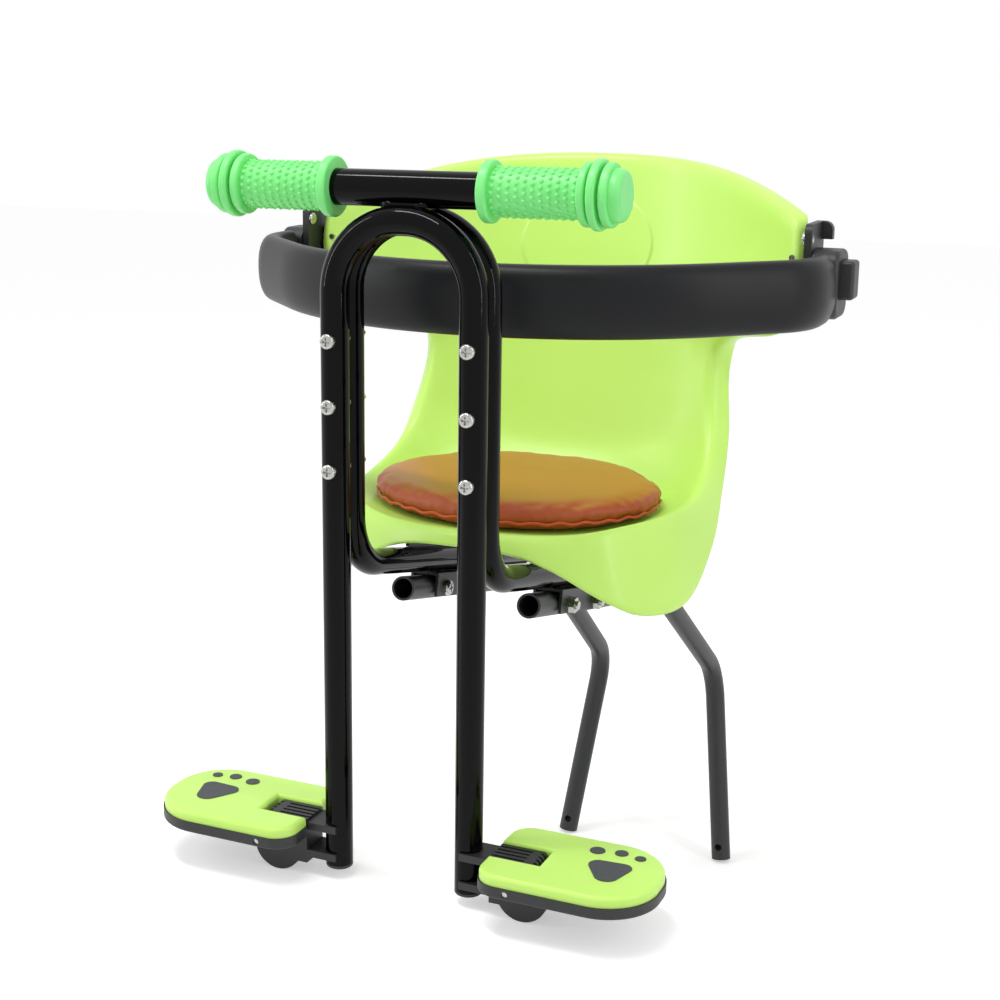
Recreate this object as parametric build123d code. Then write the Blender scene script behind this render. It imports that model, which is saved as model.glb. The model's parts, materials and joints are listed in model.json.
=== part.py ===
"""Child's bicycle seat that bolts between the handlebar and the saddle: bucket seat, frame, bar and pedals.

Millimetres, +Z up, the child faces -Y. Left and right are as seen from the front, with +X to the right.
Everything is drawn from the front frame: y = 0 on its axis and z = 0 at its lower ends.
It is then moved so that the origin lies midway between the bolt holes of the two rear legs.
"""

from collections import namedtuple
from math import cos, radians, sin, sqrt, tan

from build123d import *
import os

# Tubes of the two U frames
tube_d = 18.0
tube_wall = 1.5
frame_half = 46.4
arch_top_flat = 4.0
frame_gap = 2.0
rail_corner_z = 200.0
rail_bend_r = 42.0
rail_slope = 13.0
rail_end_y = 318.0
plug_lip = 2.5
plug_depth = 10.0
plug_clear = 0.15

# Handlebar and grips
bar_d = 22.2
bar_wall = 1.6
bar_z = 440.0
bar_half = 125.5
weld_gap = 0.6
saddle_len = 30.0
saddle_wide = 20.0
saddle_high = 10.5
saddle_clear = 0.1
grip_start = 49.0
grip_flange_d = 37.0
grip_flange_t = 6.0
grip_body_d = 28.0
grip_ring_d = 41.0
grip_ring_t = 5.0
grip_ring_pitch = 6.6
grip_ring_count = 3
grip_rings_at = 112.5
grip_end_d = 31.0
grip_end = 135.0
grip_clear = 0.1

# Screws through both frames
screw_top_z = 348.0
screw_pitch = 40.8
screw_rows = 3
screw_d = 5.0
screw_hole_clear = 0.2
screw_head_d = 9.6
screw_head_h = 3.4
screw_cross = 1.2
nut_flats = 8.0
nut_h = 4.0
thread_tail = 2.0
spacer_d = 10.0

# Seat shell, one section per row from the front lip over the pan to the rolled top edge:
# centre y and z, half width, how far the rim rises, how far it sweeps back, then the flange past it,
# and how late the rise comes, a low number for a round hollow and a high one for a flat floor
Station = namedtuple("Station", "y z half rise sweep out down back bowl")
round_floor = 3.0
flat_floor = 6.0
lip_edge = Station(79, 202, 74, -17, 16, 22, 12, 12, round_floor)
lip_ridge = Station(83, 214, 87, -4, 24, 20, 38, 3, round_floor)
pan_front = Station(106, 207, 107, 12, 32, 17, 66, 0, flat_floor)
pan_middle = Station(150, 205, 122, 15, 16, 13, 66, 4, flat_floor)
pan_back = Station(205, 204, 127, 18, 4, 11, 38, 8, flat_floor)
pan_rear = Station(256, 206, 122, 26, -8, 10, 14, 12, flat_floor)
waist_bend = Station(288, 228, 117, 32, -14, 10, 4, 14, round_floor)
waist_low = Station(304, 272, 111, 22, -18, 11, 2, 14, round_floor)
waist_high = Station(314, 312, 115, 8, -28, 11, 3, 14, round_floor)
wing_low = Station(322, 346, 163, -8, -84, 8, 4, 10, round_floor)
wing_middle = Station(332, 395, 181, -14, -96, 6, 0, 12, round_floor)
wing_top = Station(339, 436, 178, -32, -98, 6, 0, 12, round_floor)
top_ridge = Station(346, 449, 175, -37, -98, 6, -1, 12, round_floor)
top_edge = Station(356, 446, 172, -35, -98, 6, -1, 12, round_floor)
seat_rows = (lip_edge, lip_ridge, pan_front, pan_middle, pan_back, pan_rear, waist_bend, waist_low,
             waist_high, wing_low, wing_middle, wing_top, top_ridge, top_edge)
seat_sweep_power = 2.2
seat_probe = 0.01
seat_fine_rows = 49
seat_fine_columns = 25
seat_fold = 0.12
edge_pull_power = 4.0
flange_skip_rows = 4
flange_wall = 2.4
seat_wall = 3.2

# Round cushion on the pan
cushion_y = 177.0
cushion_foot_r = 60.0
cushion_foot_clear = 1.6
cushion_under_r = 84.0
cushion_under_z = 212.3
cushion_r = 99.0
cushion_seam_z = 217.8
cushion_edge_r = 94.0
cushion_edge_z = 224.0
cushion_top_z = 227.0
cushion_round = 3.4

# Folded plate that carries the pan on the rails
plate_t = 2.5
plate_front_y = 104.0
plate_back_y = 262.0
plate_clear = 1.3
seat_screw_half = 30.0
seat_screw_front_y = 128.0
seat_screw_back_y = 238.0
seat_screw_d = 5.0
seat_screw_head_d = 10.0
seat_screw_head_h = 2.6
seat_screw_bite = 2.6

# Rear legs and the channel brackets that clamp them under the rails
leg_d = 17.0
leg_wall = 1.5
leg_front_y = 97.0
leg_knee_y = 389.0
leg_heel = (53.5, 552.0, -28.0)
leg_foot = (75.0, 525.5, -200.0)
leg_knee_r = 55.0
leg_heel_r = 45.0
leg_hole_d = 6.4
leg_hole_up = 13.0
bracket_t = 2.0
bracket_front_y = 131.0
bracket_len = 92.0
bracket_skirt = 6.0
bracket_clear = 0.2
leg_bolt_front_y = 147.0
leg_bolt_pitch = 52.0
leg_bolt_d = 6.0
leg_bolt_head_d = 11.0
leg_bolt_head_h = 3.6
leg_bolt_hole_clear = 0.2
leg_nut_flats = 10.0
leg_nut_h = 5.0

# Folding pedals
pedal_in = 64.0
pedal_out = 174.0
pedal_wide = 80.0
pedal_out_round = 36.0
pedal_in_round = 16.0
pedal_base_z = 18.5
pedal_base_t = 7.5
pedal_cover_t = 7.0
pedal_cover_inset = 1.0
pedal_edge_round = 3.0
slot_wide = 24.0
lug_wide = 22.0
lug_reach = 11.0
slot_clear = 0.8
lug_top_z = 30.5
pin_x = 87.0
pin_z = 22.2
pin_d = 4.0
pin_clear = 0.05
pin_end_inset = 1.0
lug_disc_r = 17.0
lug_disc_z = 8.0
lug_back_x = 65.0
prong_t = 5.0
prong_low_z = 6.5
prong_high_z = 26.0
collar_clear = 0.15
lug_groove_count = 4
lug_groove_pitch = 4.6
lug_groove_wide = 2.0
lug_groove_deep = 1.2
tread_t = 1.4
tread_proud = 0.5
tread_clear = 0.1
sole_inner = (132.5, 3.0, 6.5)
sole_outer = (147.0, 4.5, 6.0)
sole_heel = (141.5, -9.5, 7.5)
toe_inner = (125.0, 22.0, 4.8)
toe_middle = (140.0, 24.5, 4.2)
toe_outer = (153.0, 22.0, 3.5)

# Guard rail, its end housings, buttons and the brackets on the seat's wings
rail_high = 47.0
rail_thick = 16.0
rail_round = 7.0
rail_z = 367.0
rail_front_y = 76.0
rail_front_half = 90.0
rail_side_y = 187.0
rail_side_r = 50.0
rail_front_r = 212.0
rail_end_ahead = 19.0
rail_gap = 0.2
hinge_y = 243.0
hinge_z = 372.0
hinge_pin_d = 8.0
hinge_pin_clear = 0.05
hinge_pin_sunk = 8.0
foot_in = 15.0
foot_front_y = 253.0
foot_back_y = 263.0
foot_low_z = 354.0
foot_high_z = 392.0
wing_bracket_t = 5.0
wing_bracket_gap = 0.3
wing_bracket_front_y = 226.0
wing_bracket_low_z = 350.0
wing_bracket_high_z = 409.0
hook_behind = 14.0
hook_reach = 7.0
hook_high = 12.0
hook_round = 6.0
wing_screw_d = 4.0
wing_screw_in = 11.0
wing_screw_tip_y = 241.4
wing_screw_clear = 0.15
wing_screw_inset = 7.0
wing_screw_head_d = 8.0
wing_screw_head_h = 2.4
rivet_d = 5.0
rivet_head_d = 9.0
rivet_head_h = 2.4
rivet_y = 231.0
rivet_z = 399.0
housing_gap = 0.6
housing_thick = 18.0
housing_behind = 17.0
housing_low_z = 346.0
housing_high_z = 392.0
housing_round = 3.0
housing_corner = 10.0
housing_rail_gap = 0.3
tongue_t = 6.0
tongue_high = 26.0
tongue_len = 22.0
tongue_clear = 0.2
button_wide = 18.0
button_high = 26.0
button_proud = 9.0
button_sunk = 4.0
button_travel = 3.5
button_clear = 0.3
button_round = 2.5

# Values worked out from those above
tube_r = tube_d / 2
bar_r = bar_d / 2
leg_r = leg_d / 2
pin_r = pin_d / 2
rear_y = tube_d + frame_gap
bar_y = rear_y / 2
arch_z = bar_z - sqrt((bar_r + weld_gap + tube_r) ** 2 - bar_y ** 2)
rail_back_y = hinge_y - rail_end_ahead
housing_back_y = hinge_y + housing_behind
hook_front_y = hinge_y + hook_behind
arch_r = frame_half - arch_top_flat / 2
rail_fall = tan(radians(rail_slope))
pedal_cover_z = pedal_base_z + pedal_base_t
leg_gap = bracket_t + 2 * bracket_clear
foot_hole = Vector(leg_foot) + (Vector(leg_heel) - Vector(leg_foot)).normalized() * leg_hole_up
origin = Vector(0, foot_hole.Y, foot_hole.Z)
sides = {"left": -1, "right": 1}


def rail_z_at(y):
    """Height of the seat rail's axis at a given depth."""
    return rail_corner_z - (y - rear_y) * rail_fall


def leg_z_at(y):
    """Height of the leg's straight front run, which hangs under the rail."""
    drop = (tube_r + leg_r + leg_gap) / cos(radians(rail_slope))
    return rail_z_at(y) - drop


def tube(points, radii, diameter, wall):
    """Hollow tube bent round the given corners."""
    path = FilletPolyline(*points, radius=radii)
    start = Plane(origin=path @ 0, z_dir=path % 0)
    ring = start * (Circle(diameter / 2) - Circle(diameter / 2 - wall))
    return sweep(ring, path=path)


def drill(x, y, z, diameter, direction, length):
    """Cylinder used as a drill, centred on a point."""
    return Plane(origin=(x, y, z), z_dir=direction) * Cylinder(diameter / 2, length)


def hexagon(flats, height):
    """Hexagonal nut blank standing on its lower face."""
    return extrude(RegularPolygon(flats / 2, 6, major_radius=False), height)


def write(name, *shapes):
    """Moves shapes to the part's own origin and writes them as one node."""
    moved = [Pos(-origin.X, -origin.Y, -origin.Z) * shape for shape in shapes]
    solids = [solid for shape in moved for solid in shape.solids()]
    export_step(solids[0] if len(solids) == 1 else Compound(solids), f"parts/{name}.step")


def screw_places():
    """Axis points of the screws that hold the two frames together."""
    for side in sides.values():
        for row in range(screw_rows):
            yield side * frame_half, screw_top_z - row * screw_pitch


def front_frame():
    """Front U, open at its lower ends, drilled for the screws."""
    points = [(-frame_half, 0, 0), (-frame_half, 0, arch_z), (frame_half, 0, arch_z), (frame_half, 0, 0)]
    body = tube(points, [arch_r, arch_r], tube_d, tube_wall)
    for x, z in screw_places():
        body -= drill(x, 0, z, screw_d + 2 * screw_hole_clear, (0, 1, 0), 2 * tube_d)
    return body


def rear_frame():
    """Rear U, whose legs bend back to become the two rails under the seat."""
    points = []
    for side in (-1, 1):
        leg = [(side * frame_half, rail_end_y, rail_z_at(rail_end_y)),
               (side * frame_half, rear_y, rail_corner_z),
               (side * frame_half, rear_y, arch_z)]
        points += leg if side < 0 else leg[::-1]
    body = tube(points, [rail_bend_r, arch_r, arch_r, rail_bend_r], tube_d, tube_wall)
    for x, z in screw_places():
        body -= drill(x, rear_y, z, screw_d + 2 * screw_hole_clear, (0, 1, 0), 2 * tube_d)
    return body


def tube_plugs():
    """Moulded plugs in the lower ends of the front U and the back ends of the rails."""
    lip = Pos(0, 0, -plug_lip / 2) * Cylinder(tube_r, plug_lip)
    lip = fillet(lip.edges().group_by(Axis.Z)[0], plug_lip * 0.6)
    stem = Pos(0, 0, plug_depth / 2) * Cylinder(tube_r - tube_wall - plug_clear, plug_depth)
    plug = lip + stem
    slope = radians(rail_slope)
    plugs = []
    for side in sides.values():
        plugs.append(Pos(side * frame_half, 0, 0) * plug)
        end = (side * frame_half, rail_end_y, rail_z_at(rail_end_y))
        plugs.append(Plane(origin=end, x_dir=(1, 0, 0), z_dir=(0, -cos(slope), sin(slope))) * plug)
    return plugs


def frame_fasteners():
    """Cross-head screws, nuts and the spacers between the two frames."""
    shank_len = tube_d + frame_gap + tube_d + nut_h + thread_tail
    head = Cylinder(screw_head_d / 2, screw_head_h, align=(Align.CENTER, Align.CENTER, Align.MIN))
    head = fillet(head.edges().group_by(Axis.Z)[-1], screw_head_h * 0.55)
    for turn in (0, 90):
        cross = Box(screw_head_d * 0.55, screw_cross, screw_head_h)
        head -= Pos(0, 0, screw_head_h) * Rot(0, 0, turn) * cross
    shank = Cylinder(screw_d / 2, shank_len, align=(Align.CENTER, Align.CENTER, Align.MAX))
    screw = head + shank
    hole = Cylinder(screw_d / 2, 3 * nut_h)
    nut = hexagon(nut_flats, nut_h) - hole
    spacer = extrude(Circle(spacer_d / 2) - Circle(screw_d / 2 + screw_hole_clear), frame_gap)
    screws, nuts, spacers = [], [], []
    for x, z in screw_places():
        screws.append(Plane(origin=(x, -tube_r, z), x_dir=(1, 0, 0), z_dir=(0, -1, 0)) * screw)
        nuts.append(Plane(origin=(x, rear_y + tube_r, z), x_dir=(1, 0, 0), z_dir=(0, 1, 0)) * nut)
        spacers.append(Plane(origin=(x, tube_r, z), x_dir=(1, 0, 0), z_dir=(0, 1, 0)) * spacer)
    return screws, nuts, spacers


def handlebar():
    """Straight tube across the top, in the valley between the two arches."""
    return Pos(0, bar_y, bar_z) * Rot(0, 90, 0) * extrude(
        Circle(bar_r) - Circle(bar_r - bar_wall), bar_half, both=True)


def bar_saddle():
    """Saddle block, hollowed above for the bar and below for both arches."""
    block = Pos(0, bar_y, arch_z + saddle_high / 2) * Box(saddle_len, saddle_wide, saddle_high)
    block -= drill(0, bar_y, bar_z, bar_d + 2 * saddle_clear, (1, 0, 0), 2 * bar_half)
    points = [(-frame_half, 0, 0), (-frame_half, 0, arch_z), (frame_half, 0, arch_z), (frame_half, 0, 0)]
    path = FilletPolyline(*points, radius=[arch_r, arch_r])
    under = Plane(origin=path @ 0, z_dir=path % 0) * Circle(tube_r + saddle_clear)
    arch = sweep(under, path=path)
    block -= arch
    block -= Pos(0, rear_y, 0) * arch
    return block


def grip(side):
    """Soft grip with an inner flange, three end rings and a domed cap, closed at its outer end."""
    x0, r_hole = grip_start, bar_r + grip_clear
    flange_r, body_r, ring_r, end_r = grip_flange_d / 2, grip_body_d / 2, grip_ring_d / 2, grip_end_d / 2
    profile = Pos(x0 + grip_flange_t / 2, flange_r / 2) * Rectangle(grip_flange_t, flange_r)
    profile += Pos((x0 + grip_end) / 2 - grip_flange_t / 2, body_r / 2) * Rectangle(
        grip_end - x0 - grip_flange_t, body_r)
    for ring in range(grip_ring_count):
        x = grip_rings_at + ring * grip_ring_pitch
        step = ring_r if ring == 1 else ring_r - grip_flange_t / 3
        profile += Pos(x, step / 2) * Rectangle(grip_ring_t, step)
    cap_from = grip_rings_at + (grip_ring_count - 1) * grip_ring_pitch
    profile += Pos((cap_from + grip_end) / 2, end_r / 2) * Rectangle(grip_end - cap_from, end_r)
    solid = revolve(profile, Axis.X)
    rims = [edge for edge in solid.edges().filter_by(GeomType.CIRCLE) if edge.radius > end_r + grip_clear]
    solid = fillet(rims, grip_ring_t * 0.3)
    solid = fillet(solid.edges().group_by(Axis.X)[-1], grip_flange_t * 0.7)
    bore_end = bar_half + grip_clear
    bore = Pos((x0 + bore_end) / 2, 0, 0) * Rot(0, 90, 0) * Cylinder(r_hole, bore_end - x0)
    solid -= bore
    placed = Pos(0, bar_y, bar_z) * solid
    return placed if side > 0 else mirror(placed, about=Plane.YZ)


def slope(values, i):
    """Slope of a run of values at one of them, flat at a peak so that the curve never overshoots."""
    if i in (0, len(values) - 1):
        return values[min(i + 1, len(values) - 1)] - values[max(i - 1, 0)]
    before = values[i] - values[i - 1]
    after = values[i + 1] - values[i]
    return 2 * before * after / (before + after) if before * after > 0 else 0.0


def station_at(t):
    """Station between two rows of the seat, blended smoothly."""
    i = min(int(t), len(seat_rows) - 2)
    u = t - i
    blended = []
    for values in zip(*seat_rows):
        rise = values[i + 1] - values[i]
        start, end = slope(values, i), slope(values, i + 1)
        blended.append(values[i] + u * (start + u * (3 * rise - 2 * start - end + u * (start + end - 2 * rise))))
    return Station(*blended)


def seat_point(t, a):
    """Point of the inner face: t counts rows from the front, a runs from rim to rim."""
    s = station_at(t)
    b = abs(a)
    return Vector(s.half * a, s.y + s.sweep * b ** seat_sweep_power, s.z + s.rise * b ** s.bowl)


def seat_normal(t, a):
    """Direction out of the inner face, towards the child."""
    along = seat_point(t + seat_probe, a) - seat_point(t - seat_probe, a)
    over = seat_point(t, a + seat_probe) - seat_point(t, a - seat_probe)
    return over.cross(along).normalized()


def flange_end(t, side):
    """Outer end of the side flange."""
    s = station_at(t)
    return seat_point(t, side) + Vector(side * s.out, s.back, -s.down)


def edge_row(t, corner, columns):
    """Free edge of the front or top flange, drawn out at both ends to meet the side flange's corner."""
    stretch = corner - seat_point(t, 1)
    points = []
    for a in columns:
        pull = stretch * abs(a) ** edge_pull_power
        points.append(seat_point(t, a) + Vector(pull.X if a > 0 else -pull.X, pull.Y, pull.Z))
    return points


def spread(count):
    """Numbers from -1 to 1, closer together towards the ends."""
    return [sin(radians(90 * (2 * k / (count - 1) - 1))) for k in range(count)]


def nearest_edge(face, point):
    """The edge of a face whose middle is nearest to a point."""
    return min(face.edges(), key=lambda edge: (edge @ 0.5 - point).length)


def ruled(edge, curve):
    """Straight-drawn face between two edges, whichever way each runs."""
    same = (edge @ 0 - curve @ 0).length < (edge @ 0 - curve @ 1).length
    return Face.make_surface_from_curves(edge, curve if same else curve.reversed())


def seat_shell():
    """Moulded bucket: a smooth inner face, the same face set back by the wall, and a folded flange all round."""
    first, last = 1.0, len(seat_rows) - 2.0
    steps = [first + (last - first) * k / (seat_fine_rows - 1) for k in range(seat_fine_rows)]
    columns = spread(seat_fine_columns)
    inset = 1 - seat_wall / pan_back.half
    grid = [[seat_point(t, a) for a in columns] for t in steps]
    lower = []
    for k in range(seat_fine_rows):
        t = first + seat_fold + (last - first - 2 * seat_fold) * k / (seat_fine_rows - 1)
        lower.append([seat_point(t, a * inset) - seat_normal(t, a * inset) * seat_wall for a in columns])
    left = [flange_end(t, -1) for t in steps]
    right = [flange_end(t, 1) for t in steps]
    front = edge_row(0, right[0], columns)
    back = edge_row(last + 1, right[-1], columns)
    inner, outer = [Face.make_surface_from_array_of_points(points, tol=seat_wall / 30, min_deg=3, max_deg=5)
                    for points in (grid, lower)]
    rims = [(left, [row[0] for row in grid], [row[0] for row in lower]),
            (right, [row[-1] for row in grid], [row[-1] for row in lower]),
            (front, grid[0], lower[0]),
            (back, grid[-1], lower[-1])]
    faces = [inner, outer]
    corners = {}
    for ends, inner_rim, outer_rim in rims:
        thin = []
        for k, end in enumerate(ends):
            rim_way = inner_rim[min(k + 1, len(ends) - 1)] - inner_rim[max(k - 1, 0)]
            lean = rim_way.cross(end - inner_rim[k]).normalized() * flange_wall
            thin.append(end + lean if lean.dot(outer_rim[k] - inner_rim[k]) > 0 else end - lean)
        for k in (0, -1):
            key = (round(ends[k].X), round(ends[k].Y), round(ends[k].Z))
            thin[k] = corners.setdefault(key, thin[k])
        middle = len(ends) // 2
        end_curve = Spline(*ends[::flange_skip_rows]).edge()
        thin_curve = Spline(*thin[::flange_skip_rows]).edge()
        faces.append(ruled(nearest_edge(inner, inner_rim[middle]), end_curve))
        faces.append(ruled(nearest_edge(outer, outer_rim[middle]), thin_curve))
        faces.append(ruled(end_curve, thin_curve))
    return Solid(Shell(faces))


def seat_cushion():
    """Round pad: a foot in the hollow of the pan, a full edge and a slightly domed top."""
    foot_z = pan_middle.z + cushion_foot_clear
    outline = Polyline((0, foot_z), (cushion_foot_r, foot_z), (cushion_under_r, cushion_under_z),
                       (cushion_r, cushion_seam_z), (cushion_edge_r, cushion_edge_z), (0, cushion_top_z),
                       close=True)
    half = make_face(outline)
    corners = [v for v in half.vertices() if v.X > cushion_under_r]
    half = fillet(corners, cushion_round)
    return Pos(0, cushion_y, 0) * revolve(Plane.XZ * half, Axis.Z)


def support_top():
    """Height of the support's upper face, just under the lowest place of the pan."""
    return pan_back.z - seat_wall - plate_clear


def seat_screw_places():
    """Places of the screws that hold the pan to its support."""
    for side in sides.values():
        for y in (seat_screw_front_y, seat_screw_back_y):
            yield side * seat_screw_half, y


def seat_support():
    """Folded plate under the pan; its side flanges stand on the rails and follow their slope."""
    top_z = support_top()
    half = frame_half + plate_t / 2
    front_z = min(rail_z_at(plate_front_y) + tube_r / cos(radians(rail_slope)), top_z - plate_t)
    back_z = rail_z_at(plate_back_y) + tube_r / cos(radians(rail_slope))
    outline = Polyline((plate_front_y, top_z), (plate_back_y, top_z), (plate_back_y, back_z + bracket_clear),
                       (plate_front_y, front_z + bracket_clear), close=True)
    block = extrude(Plane.YZ * make_face(outline), half, both=True)
    depth = top_z - plate_t - back_z + tube_d
    room = Box(2 * (half - plate_t), 2 * (plate_back_y - plate_front_y), depth)
    block -= Pos(0, (plate_front_y + plate_back_y) / 2, top_z - plate_t - depth / 2) * room
    for x, y in seat_screw_places():
        block -= drill(x, y, top_z, seat_screw_d + 2 * bracket_clear, (0, 0, 1), 4 * plate_t)
    return block


def seat_screws():
    """Screws from below through the support into the pan."""
    head_z = support_top() - plate_t
    length = plate_t + plate_clear + seat_screw_bite
    head = Cylinder(seat_screw_head_d / 2, seat_screw_head_h, align=(Align.CENTER, Align.CENTER, Align.MAX))
    head = fillet(head.edges().group_by(Axis.Z)[0], seat_screw_head_h * 0.5)
    screw = head + Cylinder(seat_screw_d / 2, length, align=(Align.CENTER, Align.CENTER, Align.MIN))
    return [Pos(x, y, head_z) * screw for x, y in seat_screw_places()]


def leg_plane(side, y):
    """Plane across a leg's straight run: x across the seat, y back along the run."""
    slope = radians(rail_slope)
    return Plane(origin=(side * frame_half, y, leg_z_at(y)), x_dir=(1, 0, 0), z_dir=(0, sin(slope), cos(slope)))


def leg_bolt_places():
    """Depths of the two cross bolts of each leg."""
    return [leg_bolt_front_y, leg_bolt_front_y + leg_bolt_pitch]


def rear_leg(side):
    """Bent tube from under the seat down to the frame of the bicycle, open at its front end."""
    points = [(side * frame_half, leg_front_y, leg_z_at(leg_front_y)),
              (side * frame_half, leg_knee_y, leg_z_at(leg_knee_y)),
              (side * leg_heel[0], *leg_heel[1:]),
              (side * leg_foot[0], *leg_foot[1:])]
    body = tube(points, [leg_knee_r, leg_heel_r], leg_d, leg_wall)
    for y in leg_bolt_places():
        hole_d = leg_bolt_d + 2 * leg_bolt_hole_clear
        body -= drill(side * frame_half, y, leg_z_at(y), hole_d, (1, 0, 0), 2 * leg_d)
    return body - drill(side * foot_hole.X, foot_hole.Y, foot_hole.Z, leg_hole_d, (0, 1, 0), 2 * leg_d)


def leg_bracket(side):
    """Channel over the leg, its web between the leg and the rail."""
    wide = leg_d + 2 * (bracket_clear + bracket_t)
    top = leg_r + bracket_clear + bracket_t
    channel = Rectangle(wide, top + bracket_skirt, align=(Align.CENTER, Align.MAX))
    room = Rectangle(wide - 2 * bracket_t, top + bracket_skirt, align=(Align.CENTER, Align.MAX))
    section = Pos(0, top) * channel - Pos(0, top - bracket_t) * room
    place = leg_plane(side, bracket_front_y)
    body = place * extrude(Plane.XZ * section, -bracket_len)
    for y in leg_bolt_places():
        hole_d = leg_bolt_d + 2 * leg_bolt_hole_clear
        body -= drill(side * frame_half, y, leg_z_at(y), hole_d, (1, 0, 0), 2 * wide)
    return body


def leg_fasteners():
    """Cross bolts with their heads towards the middle, and the nuts outside."""
    half = leg_r + bracket_clear + bracket_t
    head = Cylinder(leg_bolt_head_d / 2, leg_bolt_head_h, align=(Align.CENTER, Align.CENTER, Align.MIN))
    head = fillet(head.edges().group_by(Axis.Z)[-1], leg_bolt_head_h * 0.55)
    for turn in (0, 90):
        cross = Box(leg_bolt_head_d * 0.55, screw_cross, leg_bolt_head_h)
        head -= Pos(0, 0, leg_bolt_head_h) * Rot(0, 0, turn) * cross
    length = 2 * half + leg_nut_h + thread_tail
    bolt = head + Cylinder(leg_bolt_d / 2, length, align=(Align.CENTER, Align.CENTER, Align.MAX))
    nut = hexagon(leg_nut_flats, leg_nut_h) - Cylinder(leg_bolt_d / 2, 3 * leg_nut_h)
    bolts, nuts = [], []
    for side in sides.values():
        for y in leg_bolt_places():
            inner = (side * (frame_half - half), y, leg_z_at(y))
            outer = (side * (frame_half + half), y, leg_z_at(y))
            bolts.append(Plane(origin=inner, x_dir=(0, 1, 0), z_dir=(-side, 0, 0)) * bolt)
            nuts.append(Plane(origin=outer, x_dir=(0, 1, 0), z_dir=(side, 0, 0)) * nut)
    return bolts, nuts


def to_side(shape, side):
    """A shape drawn on the right, mirrored when it belongs on the left."""
    return shape if side > 0 else mirror(shape, about=Plane.YZ)


def pedal_outline(inset):
    """Plan of a pedal: broad and rounded, with a slot open towards the frame."""
    length = pedal_out - pedal_in - 2 * inset
    plan = Pos((pedal_in + pedal_out) / 2, 0) * Rectangle(length, pedal_wide - 2 * inset)
    plan = fillet(plan.vertices().group_by(Axis.X)[-1], pedal_out_round - inset)
    plan = fillet(plan.vertices().group_by(Axis.X)[0], pedal_in_round - inset)
    slot_end = pin_x + lug_reach + slot_clear
    slot = Rectangle(2 * (slot_end - pedal_in), slot_wide)
    return plan - Pos(pedal_in, 0) * slot


def pedal_base():
    """Lower half of the pedal, bored from front to back for the pin."""
    body = Pos(0, 0, pedal_base_z) * extrude(pedal_outline(0), pedal_base_t)
    lower = [edge for edge in body.edges().group_by(Axis.Z)[0] if abs(edge.center().Y) > slot_wide]
    body = fillet(lower, pedal_edge_round * 0.5)
    return body - drill(pin_x, 0, pin_z, pin_d + 2 * pin_clear, (0, 1, 0), 2 * pedal_wide)


def tread_faces(extra):
    """Outlines of the foot mark: a sole and three toes."""
    rounds = [Pos(x, y) * Circle(r + extra) for x, y, r in (sole_inner, sole_outer, sole_heel)]
    toes = [Pos(x, y) * Circle(r + extra) for x, y, r in (toe_inner, toe_middle, toe_outer)]
    return [make_hull([edge for part in rounds for edge in part.edges()]), *toes]


def pedal_tread():
    """Dark inlays of the foot mark, standing a little proud."""
    low_z = pedal_cover_z + pedal_cover_t + tread_proud - tread_t
    return [Pos(0, 0, low_z) * extrude(face, tread_t) for face in tread_faces(0)]


def pedal_cover():
    """Upper half of the pedal with a rounded rim and pockets for the inlays."""
    body = Pos(0, 0, pedal_cover_z) * extrude(pedal_outline(pedal_cover_inset), pedal_cover_t)
    body = fillet(body.edges().group_by(Axis.Z)[-1], pedal_edge_round)
    depth = tread_t - tread_proud + tread_clear
    for face in tread_faces(tread_clear):
        body -= Pos(0, 0, pedal_cover_z + pedal_cover_t - depth) * extrude(face, 2 * depth)
    return body


def pedal_lug():
    """Hinge block on the frame: two prongs round the tube, a grooved barrel and a half disc below."""
    barrel = Pos(pin_x, pin_z) * Circle(lug_reach)
    link = Pos((lug_back_x + pin_x) / 2, pin_z) * Rectangle(pin_x - lug_back_x, 2 * lug_reach)
    upper = (barrel + link) & Pos(pin_x, lug_top_z) * Rectangle(
        4 * lug_reach + 2 * pin_x, 4 * lug_reach, align=(Align.CENTER, Align.MAX))
    disc = Pos(pin_x, lug_disc_z) * Circle(lug_disc_r)
    disc &= Pos(pin_x, pedal_base_z - slot_clear) * Rectangle(
        4 * lug_disc_r, 4 * lug_disc_r, align=(Align.CENTER, Align.MAX))
    web = Pos((lug_back_x + pin_x) / 2, lug_disc_z) * Rectangle(pin_x - lug_back_x, lug_disc_r)
    section = upper + disc + web
    for z in (prong_low_z, prong_high_z):
        section += Pos((frame_half + lug_back_x) / 2, z) * Rectangle(lug_back_x - frame_half + prong_t, prong_t)
    body = extrude(Plane.XZ * section, lug_wide / 2, both=True)
    skin = Pos(pin_x, pin_z) * (Circle(2 * lug_reach) - Circle(lug_reach - lug_groove_deep))
    skin &= Pos(pin_x, pin_z) * Rectangle(4 * lug_reach, 4 * lug_reach, align=(Align.MIN, Align.MIN))
    over = Pos((lug_back_x + pin_x) / 2, lug_top_z) * Rectangle(pin_x - lug_back_x, 2 * lug_groove_deep)
    groove = extrude(Plane.XZ * (skin + over), lug_groove_wide / 2, both=True)
    for count in range(lug_groove_count):
        body -= Pos(0, (count - (lug_groove_count - 1) / 2) * lug_groove_pitch, 0) * groove
    body -= Pos(frame_half, 0, prong_high_z) * Cylinder(tube_r + collar_clear, 4 * prong_high_z)
    return body - drill(pin_x, 0, pin_z, pin_d + 2 * pin_clear, (0, 1, 0), 2 * lug_wide)


def pedal_pin():
    """Steel pin through the pedal and its lug."""
    return drill(pin_x, 0, pin_z, pin_d, (0, 1, 0), pedal_wide - 2 * pin_end_inset)


def box_between(x, y, z):
    """Block between pairs of limits along the three axes."""
    size = [high - low for low, high in (x, y, z)]
    middle = [(high + low) / 2 for low, high in (x, y, z)]
    return Pos(*middle) * Box(*size)


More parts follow.
